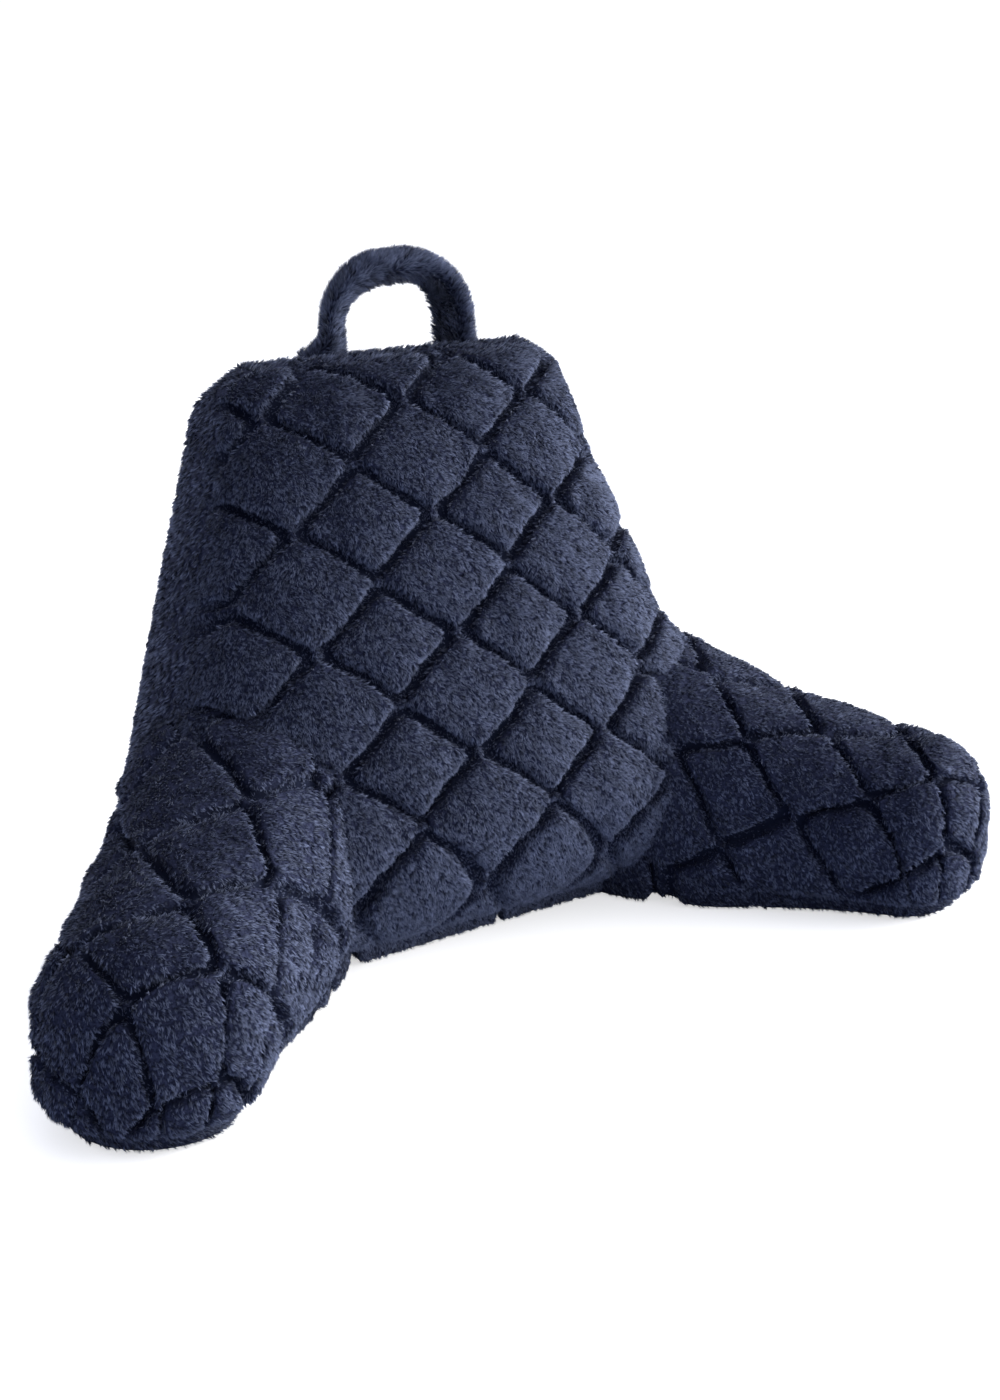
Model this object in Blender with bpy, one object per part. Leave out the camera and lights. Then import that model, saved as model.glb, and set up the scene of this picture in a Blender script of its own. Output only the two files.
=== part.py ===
"""Cuddle cushion: a leaning filled backrest, two splayed filled arms and a carrying loop.

Metres, +Z up. The origin is on the floor under the middle of the cushion's box, +X runs along the
cushion's width and the open front faces -Y. Every soft piece is made the same way: a flat sheet whose
edges run along the sewn channels is cut to the piece's outline, bent over the filled form by a rule,
and closed underneath, so the padded diamonds are raised in the sheet's own points.
"""
import math

import bmesh
import bpy
from mathutils import Matrix, Vector

# The channelled pile cloth
CELL_PITCH = 0.0708             # channel to channel across one padded diamond
CHANNEL_DEPTH = 0.0065          # how far a channel lies below its diamonds
CELL_CROWN = 0.0020             # how far a diamond's middle stands above its shoulder
CELL_SHOULDER = 0.36            # where a diamond's shoulder starts, as a share of the pitch from its middle
CELL_UNEVEN = 0.050             # how far a channel shifts towards its smaller diamond, in pitches

# The backrest
FACE_LENGTH = 0.390             # the face, from its lower seam up the slope to the top seam
FACE_LEAN = math.radians(21.0)  # the face's slope back from upright
HALF_WIDTH_LOW = 0.243
HALF_WIDTH_TOP = 0.128
SIDE_FLARE = (1.15, 1.25)       # left and right: above 1 a side curves outwards towards the floor
CORNER_RADIUS = 0.022
PANEL_WRAP = 0.045              # how far the channelled panels run on round each side
WRAP_TAPER = 0.080              # the height over which that wrap narrows to nothing at the top seam
SIDE_BAND = 0.086               # from the face's edge to the back's edge at the top
SIDE_BULGE = ((0.0245, 0.002), (0.015, 0.024))  # the left and the right band's swell, each low and at the top
BULGE_RISE = 5.0                # the power by which the low swell gives way to the one at the top
TOP_BULGE = (0.013, 0.019)      # the same for the top band, at its left and its right end
SIDE_ROUND = (2.4, 0.62)        # the powers that shape the fall from the crown to the sides
TOP_ROUND = (7.0, 0.50)         # the same, to the top seam
EDGE_HOLD = (8, 12)             # the powers that keep the channels' shift off the side and top seams
BACK_NARROW = 0.004             # how much narrower each side of the back is than the face
FACE_CROWN = 0.062
BACK_CROWN = 0.030
BACK_WEDGE = 0.106              # how much deeper the backrest is at the floor than at the top
TUCK_SHARE = 0.76               # how far the face is drawn in at its lower seam
TUCK_HEIGHT = 0.070
FACE_TURN = 0.045               # the height over which the level lower seam turns into the face's slope
BACK_TURN = 0.200               # the same on the back
FOOT_SLANT = 0.095              # the lower seam runs back a little from left to right
FACE_FOOT = -0.041              # where the middle sheet of the backrest meets the floor, along Y
FACE_LATTICE_X = -0.0626        # the middle of the first diamond, from the centre line
FACE_LATTICE_UP = 0.3535         # the same, up from the lower seam
FACE_LATTICE_SQUASH = 0.817     # the diamonds' height over their width on the face
FACE_REACH = 0.64               # the sheet before it is cut covers more than the face
TOP_BULGE_FROM = 0.80           # the share of the height above which the band swells upwards too
BAND_LINES = (-0.4, 0.4)        # where the band has rows of points, from the back at -1 to the face at 1

# The arms, from a root inside the backrest to a round tip
ARM_ROOT = (0.116, 0.042)
ARMS = (                        # first: the middle of the first diamond, along and across the arm's cloth
    {"name": "arm_left", "tip": (-0.2985, -0.2385), "first": (0.213, -0.0155), "turn": 7.0, "pitch": 0.0695,
     "end_height": 0.0640, "lean": 0.12},
    {"name": "arm_right", "tip": (0.3395, -0.2010), "first": (0.160, -0.1070), "turn": -9.0, "pitch": 0.0620,
     "end_height": 0.0585, "lean": 0.08},
)
ARM_HALF_WIDTH = (0.080, 0.0690)
ARM_HALF_HEIGHT = 0.106         # at the root; each arm has its own at the tip
ARM_ROOT_NARROW = 0.35          # how much narrower the hidden root is
ARM_ROOT_SHARE = 0.30           # the share of the arm that this takes
ARM_SAG = 0.0065                # how far the arm's top dips between root and tip
ARM_LIFT = 0.0125               # how much higher the arm's middle lies at its root
ARM_SQUARENESS = 2.4            # 2 is round, more is boxier
ARM_CAP = 0.056                 # the length of the rounded tip
ARM_INNER_FILLET = (0.40, 0.18) # where its inner side swells into the backrest, and over what share of its length
ARM_OUTER_FILLET = (0.28, 0.13) # the same for its outer side and its top
ARM_FILLET_INNER = 0.009
ARM_FILLET_OUTER = 0.006
ARM_FILLET_TOP = 0.009
ARM_MIDDLE = 0.95               # the height of the arm's widest line, in half heights
ARM_DROOP = (0.20, 0.08)        # how much wider than round the arm stays towards the floor, at root and tip
ARM_SLACK = 1.07                # cloth round the arm over the mean of its half width and half height
ARM_FLOOR_FROM = 0.80           # the share of the cloth below which it runs down to the seam
ARM_REACH = 0.80                # the same as FACE_REACH, for an arm
ARM_EDGE_HOLD = 10              # the power that keeps the channels' shift off the lower seam
ARM_WRAP = math.radians(138)    # how far the sheet reaches round from the arm's ridge to its lower seam

# The underside
SEAM_HEIGHT = 0.014             # the lower seam above the floor
SEAM_TURN = 0.006               # how far the cloth turns in under that seam
SEAM_FADE = 0.030               # the height over which channels straighten towards the seam

# The handle
STRAP_WIDTH = 0.040
STRAP_THICKNESS = (0.0150, 0.0210, 0.0170)   # of the left leg, the top and the right leg
STRAP_TWIST = (24.0, -15.0)     # degrees that the left and the right leg are turned about the upright
FOOT_FLARE = 0.018              # how far the left foot spreads outwards where it is sewn in
FLARE_HEIGHT = 0.022
STRAP_SQUARENESS = 0.75         # the power that shapes the strap's section: 1 is oval, less is boxier
LOOP_HALF_SPAN = 0.0475
LOOP_HEIGHT = 0.0602
LOOP_CORNER = 0.040
LOOP_FOOT = 0.030               # how far the strap's ends run on below the top seam
LOOP_BACK = -0.004              # how far behind the middle of the top band the loop stands
LOOP_ASIDE = 0.0226             # how far to the right of the centre line it is sewn in
LOOP_TILT = 0.09                # how far its crown rises from left to right, for its width
LOOP_LEAN = 0.125               # how far the loop leans back for its height
LOOP_SPLAY = 0.010              # how far its feet spread inside the top band
SPLAY_FADE = (1.6, 1.5)         # how fast that spread is gone on the way up, and its power

CUT_GAP = 0.0004                # left between pieces that are sewn to each other
SLIVER = 0.0030                 # points of a sheet closer than this are merged


def clear_scene():
    for old in list(bpy.data.objects):
        bpy.data.objects.remove(old, do_unlink=True)


def pile_cloth(name, colour):
    """A matt navy pile cloth."""
    material = bpy.data.materials.new(name)
    material.use_nodes = True
    shader = material.node_tree.nodes["Principled BSDF"]
    shader.inputs["Base Color"].default_value = (*colour, 1.0)
    shader.inputs["Roughness"].default_value = 0.95
    shader.inputs["Metallic"].default_value = 0.0
    return material


class Lattice:
    """The channels' grid on a flat piece of cloth; whole numbers (i, j) are the middles of diamonds."""

    def __init__(self, first, pitch=CELL_PITCH, squash=1.0, turn=0.0):
        self.first = first
        self.across = pitch / math.sqrt(2)
        self.down = self.across * squash
        self.cosine = math.cos(math.radians(turn))
        self.sine = math.sin(math.radians(turn))

    def step(self, i, j):
        """How far the cloth runs, across and up, for a step of i and j diamonds."""
        across = (i - j) * self.across
        up = -(i + j) * self.down
        return across * self.cosine - up * self.sine, across * self.sine + up * self.cosine

    def place(self, across, up):
        """The lattice place of a point of the cloth."""
        across -= self.first[0]
        up -= self.first[1]
        skew = (across * self.cosine + up * self.sine) / self.across
        drop = (across * self.sine - up * self.cosine) / self.down
        return (drop + skew) / 2, (drop - skew) / 2


def cell_uneven(i, j):
    """Every second diamond is larger: its channels bow into the smaller neighbours."""
    return (-CELL_UNEVEN * math.sin(math.pi * i) * math.cos(math.pi * j),
            -CELL_UNEVEN * math.cos(math.pi * i) * math.sin(math.pi * j))


def cell_relief(i, j):
    """Height of the padded diamonds over the plain form, zero at a diamond's shoulder."""
    from_middle = max(abs(i - round(i)), abs(j - round(j)))
    if from_middle <= CELL_SHOULDER:
        return CELL_CROWN * (1 - (from_middle / CELL_SHOULDER) ** 2)
    share = (from_middle - CELL_SHOULDER) / (0.5 - CELL_SHOULDER)
    return -CHANNEL_DEPTH * share ** 1.5


def channelled_sheet(lattice, size, outline):
    """A flat sheet with edges along the channels and the diamonds' shoulders, cut to a convex outline.

    size is the reach that the sheet must cover, and outline a list of points, anticlockwise.
    """
    cells = 2 * math.ceil(size / CELL_PITCH)
    sheet = bmesh.new()
    steps = 4 * cells
    bmesh.ops.create_grid(sheet, x_segments=steps, y_segments=steps, size=cells / 2)
    lines = (-0.5, -CELL_SHOULDER, 0.0, CELL_SHOULDER)

    def uneven_line(value):
        number = round((value + cells / 2) * 4)
        return number // 4 - cells // 2 + lines[number % 4]

    for point in sheet.verts:
        across, up = lattice.step(uneven_line(point.co.x), uneven_line(point.co.y))
        point.co = Vector((lattice.first[0] + across, lattice.first[1] + up, 0))
    for start, end in zip(outline, outline[1:] + outline[:1]):
        outwards = Vector((end[1] - start[1], start[0] - end[0], 0)).normalized()
        bmesh.ops.bisect_plane(sheet, geom=sheet.verts[:] + sheet.edges[:] + sheet.faces[:], dist=1e-6,
                               plane_co=Vector((*start, 0)), plane_no=outwards, clear_outer=True)
    merge_slivers(sheet, outline)
    return sheet


def merge_slivers(sheet, outline):
    """Merge points that nearly meet, keeping those on the outline where they are."""
    def edge_distance(point):
        distances = []
        for start, end in zip(outline, outline[1:] + outline[:1]):
            along = Vector((end[0] - start[0], end[1] - start[1])).normalized()
            offset = Vector((point.co.x - start[0], point.co.y - start[1]))
            distances.append(abs(along.cross(offset)))
        return min(distances)

    rim = {point for point in sheet.verts if edge_distance(point) < 1e-5}
    corners = set()
    for point in rim:
        if any((point.co.xy - Vector(corner)).length < 1e-5 for corner in outline):
            corners.add(point)
    targets = {}
    kept = list(corners) + sorted(rim - corners, key=lambda one: (round(one.co.x, 6), round(one.co.y, 6)))
    settled = []
    for point in kept:
        near = next((other for other in settled if (other.co - point.co).length < SLIVER), None)
        if near is None:
            settled.append(point)
        else:
            targets[point] = near
    for point in sheet.verts:
        if point in rim:
            continue
        near = next((other for other in settled if (other.co - point.co).length < SLIVER), None)
        if near is not None:
            targets[point] = near
    bmesh.ops.weld_verts(sheet, targetmap=targets)
    bmesh.ops.dissolve_degenerate(sheet, dist=1e-5, edges=sheet.edges[:])


def solid_object(name, body, material, flat_angle=40):
    """Make a named object of a closed bmesh."""
    bmesh.ops.triangulate(body, faces=[face for face in body.faces if len(face.verts) > 3])
    bmesh.ops.recalc_face_normals(body, faces=body.faces[:])
    mesh = bpy.data.meshes.new(name)
    body.to_mesh(mesh)
    body.free()
    mesh.materials.append(material)
    mesh.shade_smooth()
    mesh.set_sharp_from_angle(angle=math.radians(flat_angle))
    item = bpy.data.objects.new(name, mesh)
    bpy.context.scene.collection.objects.link(item)
    return item


FACE_LATTICE = Lattice((FACE_LATTICE_X, FACE_LATTICE_UP), squash=FACE_LATTICE_SQUASH)


def straight_half_width(up):
    """Half the face's width at a height, with straight sides."""
    return HALF_WIDTH_LOW + (HALF_WIDTH_TOP - HALF_WIDTH_LOW) * up / FACE_LENGTH


def flared_half_width(up, right_side):
    share = min(max(up / FACE_LENGTH, 0.0), 1.0)
    return HALF_WIDTH_TOP + (HALF_WIDTH_LOW - HALF_WIDTH_TOP) * (1 - share) ** SIDE_FLARE[right_side]


def face_outline():
    """The panel's outline, flat: the face with its wraps round the sides and both top corners rounded."""
    steps = 5
    full = FACE_LENGTH - WRAP_TAPER
    right = [(straight_half_width(full) + PANEL_WRAP, full)]
    for step in range(steps + 1):
        turn = math.pi / 2 * step / steps
        across = straight_half_width(FACE_LENGTH) - CORNER_RADIUS * (1 - math.cos(turn))
        up = FACE_LENGTH - CORNER_RADIUS * (1 - math.sin(turn))
        if step == 0:
            across = straight_half_width(up)
        right.append((across, up))
    left = [(-across, up) for across, up in reversed(right)]
    low = HALF_WIDTH_LOW + PANEL_WRAP
    return [(-low, 0.0), (low, 0.0)] + right + left


def face_edge(up):
    """Half the face's width at a height, flat, with the top corner rounded."""
    over = max(0.0, up - (FACE_LENGTH - CORNER_RADIUS))
    return straight_half_width(up) - CORNER_RADIUS + math.sqrt(max(CORNER_RADIUS ** 2 - over ** 2, 0.0))


def backrest_place(across, up, level):
    """Where a point of the backrest lies. level is 1 on the front panel and -1 on the back panel."""
    edge = face_edge(up)
    side_share = min(abs(across) / edge, 1.0)
    up_share = min(max(up / FACE_LENGTH, 0.0), 1.0)
    crown = (1 - side_share ** SIDE_ROUND[0]) ** SIDE_ROUND[1] * (1 - up_share ** TOP_ROUND[0]) ** TOP_ROUND[1]
    low = max(0.0, 1 - up / TUCK_HEIGHT)
    tuck = 1 - TUCK_SHARE * low ** 2
    face = (SIDE_BAND / 2 + FACE_CROWN * crown) * tuck
    back = SIDE_BAND / 2 + BACK_CROWN * crown + BACK_WEDGE * (1 - up_share)
    if abs(level) == 1:
        i, j = FACE_LATTICE.place(across, up)
        shift = FACE_LATTICE.step(*cell_uneven(i, j))
        fade = (1 - side_share ** EDGE_HOLD[0]) * (1 - up_share ** EDGE_HOLD[1]) * min(1.0, up / SEAM_FADE)
        across += shift[0] * fade
        up += shift[1] * fade
    past_edge = max(0.0, abs(across) - edge)
    level *= 1 - 2 * past_edge / (SIDE_BAND + BACK_WEDGE * (1 - up_share))
    across = max(-edge, min(across, edge))
    depth = face * (1 + level) / 2 - back * (1 - level) / 2
    swell = 1 - level ** 2
    right_side = 0 if across < 0 else 1
    low_bulge, top_bulge = SIDE_BULGE[right_side]
    bulge = (low_bulge + (top_bulge - low_bulge) * up_share ** BULGE_RISE) * swell
    straight = straight_half_width(min(up, FACE_LENGTH))
    narrow = BACK_NARROW * (1 - level) / 2
    across *= flared_half_width(up, right_side) / straight * (1 + (bulge - narrow) / straight)
    rightwards = (across / HALF_WIDTH_TOP + 1) / 2
    raised = TOP_BULGE[0] + (TOP_BULGE[1] - TOP_BULGE[0]) * min(max(rightwards, 0.0), 1.0)
    up += raised * swell * max(0.0, (up_share - TOP_BULGE_FROM) / (1 - TOP_BULGE_FROM))
    turn = FACE_TURN * (1 + level) / 2 + BACK_TURN * (1 - level) / 2
    slope = min(1.0, up / turn)
    slope = slope * slope * (3 - 2 * slope)
    foot = FACE_FOOT + FOOT_SLANT * across * low * (1 + level) / 2
    return Vector((across,
                   foot + up * math.sin(FACE_LEAN) - depth * math.cos(FACE_LEAN),
                   SEAM_HEIGHT + up * math.cos(FACE_LEAN) + depth * math.sin(FACE_LEAN) * slope))


def turn_under(body, seam):
    """Turn the cloth in under the lower seam and close it with a flat underside."""
    middle = sum((point.co for edge in seam for point in edge.verts), Vector()) / (2 * len(seam))
    made = bmesh.ops.extrude_edge_only(body, edges=seam)
    turned = [item for item in made["geom"] if isinstance(item, bmesh.types.BMVert)]
    for point in turned:
        inwards = Vector((middle.x - point.co.x, middle.y - point.co.y, 0)).normalized()
        point.co += inwards * SEAM_TURN
        point.co.z = 0.0
    return [item for item in made["geom"] if isinstance(item, bmesh.types.BMEdge)]


def make_backrest(material):
    outline = face_outline()
    body = channelled_sheet(FACE_LATTICE, FACE_REACH, outline)
    for point in body.verts:
        point.co.z = 1.0            # z is the level, from the back at -1 to the face at 1, until the bend below
    made = bmesh.ops.extrude_face_region(body, geom=body.faces[:], use_keep_orig=True)
    for item in made["geom"]:
        if isinstance(item, bmesh.types.BMVert):
            item.co.z = -1.0
    open_strip = [face for face in body.faces
                  if all(point.co.y < 1e-6 for point in face.verts) and len({p.co.z for p in face.verts}) > 1]
    bmesh.ops.delete(body, geom=open_strip, context="FACES")
    for level in BAND_LINES:
        bmesh.ops.bisect_plane(body, geom=body.verts[:] + body.edges[:] + body.faces[:], dist=1e-6,
                               plane_co=Vector((0, 0, level)), plane_no=Vector((0, 0, 1)))
    raised = {}
    for point in body.verts:
        across, up, level = point.co
        if abs(level) == 1:
            raised[point] = cell_relief(*FACE_LATTICE.place(across, up)) * min(1.0, up / SEAM_FADE)
        point.co = backrest_place(across, up, level)
    bmesh.ops.recalc_face_normals(body, faces=body.faces[:])
    body.normal_update()
    for point, move in [(point, point.normal * relief) for point, relief in raised.items()]:
        point.co += move
    seam = [edge for edge in body.edges if edge.is_boundary]
    turn_under(body, seam)
    bmesh.ops.contextual_create(body, geom=[edge for edge in body.edges if edge.is_boundary])
    return solid_object("backrest", body, material)


class Arm:
    """One arm: a filled tube that tapers from its root to a round tip."""

    def __init__(self, name, tip, first, turn, pitch, end_height, lean):
        self.name = name
        self.side = 1 if tip[0] > 0 else -1
        self.root = Vector((self.side * ARM_ROOT[0], ARM_ROOT[1]))
        run = Vector(tip) - self.root
        self.length = run.length
        self.forwards = run.normalized()
        self.outwards = Vector((-self.forwards.y, self.forwards.x)) * self.side
        self.shaft = self.length - ARM_CAP
        self.end_height = end_height
        self.lean = lean
        self.lattice = Lattice(first, pitch=pitch, turn=turn)

    def sizes(self, along):
        share = min(max(along / self.length, 0.0), 1.0)
        half_width = ARM_HALF_WIDTH[0] + (ARM_HALF_WIDTH[1] - ARM_HALF_WIDTH[0]) * share
        half_width *= 1 - ARM_ROOT_NARROW * max(0.0, 1 - share / ARM_ROOT_SHARE) ** 2
        half_height = ARM_HALF_HEIGHT + (self.end_height - ARM_HALF_HEIGHT) * share
        half_height -= 4 * ARM_SAG * share * (1 - share)
        middle = half_height * ARM_MIDDLE + ARM_LIFT * (1 - share)
        return half_width, half_height, middle

    def reach(self, along):
        """Cloth from the ridge down to the lower seam."""
        half_width, half_height, _ = self.sizes(along)
        return ARM_SLACK * ARM_WRAP * (half_width + half_height) / 2

    def outline(self):
        wide = self.reach(0)
        narrow = self.reach(self.shaft)
        points = [(0.0, -wide)]
        steps = 12
        for step in range(steps + 1):
            turn = -math.pi / 2 + math.pi * step / steps
            points.append((self.shaft + narrow * math.cos(turn), narrow * math.sin(turn)))
        points.append((0.0, wide))
        return points

    def place(self, along, across, lift=0.0):
        """Where a point of the flat cloth lies on the filled arm, and the way out of it."""
        on_tip = along > self.shaft
        if on_tip:
            ahead = along - self.shaft
            gone = math.hypot(ahead, across) / self.reach(self.shaft)
            turn = math.atan2(across, ahead)
            start = self.shaft
        else:
            gone = abs(across) / self.reach(along)
            turn = math.copysign(math.pi / 2, across)
            start = along
        half_width, half_height, middle = self.sizes(start)
        sideways = math.sin(turn)
        ahead_reach = ARM_CAP * math.cos(turn)
        wrap = ARM_WRAP * min(gone, 1.0)
        droop = ARM_DROOP[0] + (ARM_DROOP[1] - ARM_DROOP[0]) * start / self.shaft
        droop *= max(0.0, -math.cos(wrap))
        power = 2 / ARM_SQUARENESS
        out = math.sin(wrap) ** power * (1 + droop)
        high = math.copysign(abs(math.cos(wrap)) ** power, math.cos(wrap))
        inner = math.exp(-((start / self.length - ARM_INNER_FILLET[0]) / ARM_INNER_FILLET[1]) ** 2)
        outer = math.exp(-((start / self.length - ARM_OUTER_FILLET[0]) / ARM_OUTER_FILLET[1]) ** 2)
        half_width += ARM_FILLET_INNER * inner if sideways < 0 else ARM_FILLET_OUTER * outer
        wide = (half_width + lift) * sideways * out
        spot = self.root + self.forwards * (start + (ahead_reach + lift * math.cos(turn)) * out)
        spot = spot + self.outwards * wide
        height = middle + (half_height + lift) * high + ARM_FILLET_TOP * outer * max(high, 0.0)
        floor_share = min(max(gone - ARM_FLOOR_FROM, 0.0) / (1 - ARM_FLOOR_FROM), 1.0)
        height = height * (1 - floor_share) + SEAM_HEIGHT * floor_share
        spot = spot + self.outwards * self.lean * (middle - height) * start / self.shaft
        return Vector((spot.x, spot.y, max(height, SEAM_HEIGHT)))

    def bend(self, body):
        """Bend the flat cloth over the arm, with its padded diamonds."""
        for point in body.verts:
            along, across = point.co.x, point.co.y
            i, j = self.lattice.place(along, across)
            shift = self.lattice.step(*cell_uneven(i, j))
            gone = abs(across) / self.reach(along)
            if along > self.shaft:
                gone = math.hypot(along - self.shaft, across) / self.reach(self.shaft)
            fade = 1 - min(gone, 1.0) ** ARM_EDGE_HOLD
            along += shift[0] * fade
            across += shift[1] * fade
            point.co = self.place(along, across, cell_relief(i, j) * fade)


def make_arm(arm, material):
    body = channelled_sheet(arm.lattice, ARM_REACH, arm.outline())
    root_edge = [edge for edge in body.edges if edge.is_boundary and all(p.co.x < 1e-6 for p in edge.verts)]
    seam = [edge for edge in body.edges if edge.is_boundary and edge not in root_edge]
    arm.bend(body)
    floor_edges = turn_under(body, seam)
    floor_edges = [edge for edge in floor_edges if edge.is_boundary and all(p.co.z < 1e-6 for p in edge.verts)]
    ends = [point for edge in floor_edges for point in edge.verts
            if sum(1 for other in point.link_edges if other in floor_edges) == 1]
    closing = body.edges.new(ends)
    bmesh.ops.contextual_create(body, geom=floor_edges + [closing])
    bmesh.ops.holes_fill(body, edges=[edge for edge in body.edges if edge.is_boundary], sides=0)
    return solid_object(arm.name, body, material)


def loop_path(steps_up=5, steps_round=7):
    """The strap's middle line: a leg up, a round corner, a flat crown and down again."""
    half = []
    for step in range(steps_up):
        share = step / steps_up
        up = -LOOP_FOOT + (LOOP_HEIGHT - LOOP_CORNER + LOOP_FOOT) * share
        splay = LOOP_SPLAY * max(0.0, 1 - share * SPLAY_FADE[0]) ** SPLAY_FADE[1]
        half.append((-LOOP_HALF_SPAN - splay, up))
    for step in range(steps_round + 1):
        turn = math.pi / 2 * step / steps_round
        half.append((-LOOP_HALF_SPAN + LOOP_CORNER * (1 - math.cos(turn)),
                     LOOP_HEIGHT - LOOP_CORNER * (1 - math.sin(turn))))
    return half + [(-across, up) for across, up in reversed(half)]


def make_handle(material):
    """A flat turned strap, its broad side square to the loop, swept along the loop's path."""
    path = loop_path()
    top = backrest_place(0.0, FACE_LENGTH, 0.0)
    body = bmesh.new()
    sides = 14
    rings = []
    for number, (across, up) in enumerate(path):
        before = path[max(number - 1, 0)]
        after = path[min(number + 1, len(path) - 1)]
        run = Vector((after[0] - before[0], 0, after[1] - before[1])).normalized()
        turned = STRAP_TWIST[0] + (STRAP_TWIST[1] - STRAP_TWIST[0]) * (across / LOOP_HALF_SPAN + 1) / 2
        side = Vector((math.sin(math.radians(turned)), math.cos(math.radians(turned)), 0))
        out = run.cross(side).normalized()
        leg, crown, other_leg = STRAP_THICKNESS
        rightwards = (across / LOOP_HALF_SPAN + 1) / 2
        thickness = leg + (other_leg - leg) * min(max(rightwards, 0.0), 1.0)
        thickness += (crown - thickness) * min(max(up / LOOP_HEIGHT, 0.0), 1.0) ** 4
        flare = 0.0
        if across < 0:
            flare = FOOT_FLARE * max(0.0, 1 - max(up, 0.0) / FLARE_HEIGHT) ** 2
        lean = LOOP_LEAN * max(up, 0.0)
        up += LOOP_TILT * across * max(up, 0.0) / LOOP_HEIGHT
        middle = Vector((LOOP_ASIDE + across, top.y + LOOP_BACK + lean, top.z + up))
        made = bmesh.ops.create_circle(body, segments=sides, radius=1.0)
        for point in made["verts"]:
            turn = math.atan2(point.co.y, point.co.x)
            broad = math.copysign(abs(math.cos(turn)) ** STRAP_SQUARENESS, math.cos(turn)) * STRAP_WIDTH / 2
            thin = math.copysign(abs(math.sin(turn)) ** STRAP_SQUARENESS, math.sin(turn)) * thickness / 2
            thin += flare * (1 + thin / thickness * 2) / 2
            point.co = middle + side * broad + out * thin
        rings.append(made["verts"])
    for one, two in zip(rings, rings[1:]):
        edges = [edge for edge in body.edges
                 if all(p in one for p in edge.verts) or all(p in two for p in edge.verts)]
        bmesh.ops.bridge_loops(body, edges=edges)
    bmesh.ops.holes_fill(body, edges=[edge for edge in body.edges if edge.is_boundary], sides=0)
    return solid_object("handle", body, material)


def drop_crumbs(body):
    """Keep only the largest body that a cut leaves."""
    waiting = set(body.verts)
    pieces = []
    while waiting:
        found = {waiting.pop()}
        growing = list(found)
        while growing:
            point = growing.pop()
            for edge in point.link_edges:
                other = edge.other_vert(point)
                if other not in found:
                    found.add(other)
                    growing.append(other)
        waiting -= found
        pieces.append(found)
    pieces.sort(key=len)
    crumbs = [point for piece in pieces[:-1] for point in piece]
    bmesh.ops.delete(body, geom=crumbs, context="VERTS")


def seat_against(item, neighbour):
    """Cut a sewn-on piece back to its neighbour's surface, leaving the thin gap."""
    body = bmesh.new()
    body.from_mesh(neighbour.data)
    body.normal_update()
    grown = [(point, point.co + point.normal * CUT_GAP) for point in body.verts]
    for point, place in grown:
        point.co = place
    mesh = bpy.data.meshes.new("cutter_" + item.name)
    body.to_mesh(mesh)
    body.free()
    cutter = bpy.data.objects.new("cutter_" + item.name, mesh)
    cutter.hide_render = True
    cutter.display_type = "WIRE"
    bpy.context.scene.collection.objects.link(cutter)
    cut = item.modifiers.new("seat", "BOOLEAN")
    cut.operation = "DIFFERENCE"
    cut.object = cutter
    depsgraph = bpy.context.evaluated_depsgraph_get()
    body = bmesh.new()
    body.from_mesh(item.evaluated_get(depsgraph).to_mesh())
    drop_crumbs(body)
    item.modifiers.remove(cut)
    body.to_mesh(item.data)
    body.free()
    bpy.data.objects.remove(cutter, do_unlink=True)


def centre_on_floor():
    """Put the origin on the floor under the middle of the whole cushion's box."""
    points = [point.co for item in bpy.data.objects for point in item.data.vertices]
    middle_x = (min(point.x for point in points) + max(point.x for point in points)) / 2
    middle_y = (min(point.y for point in points) + max(point.y for point in points)) / 2
    for item in bpy.data.objects:
        item.data.transform(Matrix.Translation((-middle_x, -middle_y, 0)))


def main():
    clear_scene()
    navy = (0.030, 0.037, 0.078)
    backrest = make_backrest(pile_cloth("backrest_pile", navy))
    for row in ARMS:
        item = make_arm(Arm(**row), pile_cloth(row["name"] + "_pile", navy))
        seat_against(item, backrest)
    handle = make_handle(pile_cloth("handle_pile", navy))
    seat_against(handle, backrest)
    centre_on_floor()


main()
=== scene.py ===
# %% [markdown]
# # A cuddle cushion in navy pile cloth
# The real object is a bed-rest cushion: a filled backrest that leans, two filled arms that splay forward, and
# a carrying strap on top, all in one short, soft pile whose surface is sculpted into padded diamonds. The
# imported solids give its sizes. This notebook dresses them: each cushion gets a finely made skin in the same
# place, the filling swells it, the channels are pressed in, and then the pile is planted on it.

# %% Load the frame
import math

import bmesh
import bpy
import numpy as np
from mathutils import Matrix, Vector


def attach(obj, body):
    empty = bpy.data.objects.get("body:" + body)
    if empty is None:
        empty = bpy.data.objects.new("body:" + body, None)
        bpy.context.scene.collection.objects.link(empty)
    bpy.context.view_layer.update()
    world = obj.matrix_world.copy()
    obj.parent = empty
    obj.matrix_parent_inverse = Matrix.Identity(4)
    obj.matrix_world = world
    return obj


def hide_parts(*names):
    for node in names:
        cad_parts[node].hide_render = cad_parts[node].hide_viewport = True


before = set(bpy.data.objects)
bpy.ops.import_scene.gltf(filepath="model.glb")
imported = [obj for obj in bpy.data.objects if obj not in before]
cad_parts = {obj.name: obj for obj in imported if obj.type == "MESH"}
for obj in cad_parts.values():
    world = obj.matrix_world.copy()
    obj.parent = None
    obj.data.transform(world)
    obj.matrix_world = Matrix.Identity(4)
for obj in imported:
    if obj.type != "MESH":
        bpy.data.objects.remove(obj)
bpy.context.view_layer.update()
scene = bpy.context.scene
print("nodes:", sorted(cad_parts))

# %% [markdown]
# ## The camera
# The photograph looks at the cushion from its left front, a little from above. The place, the aim, the small
# tilt and the lens were found by fitting a camera to the corners of the diamonds and to the outline.

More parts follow.
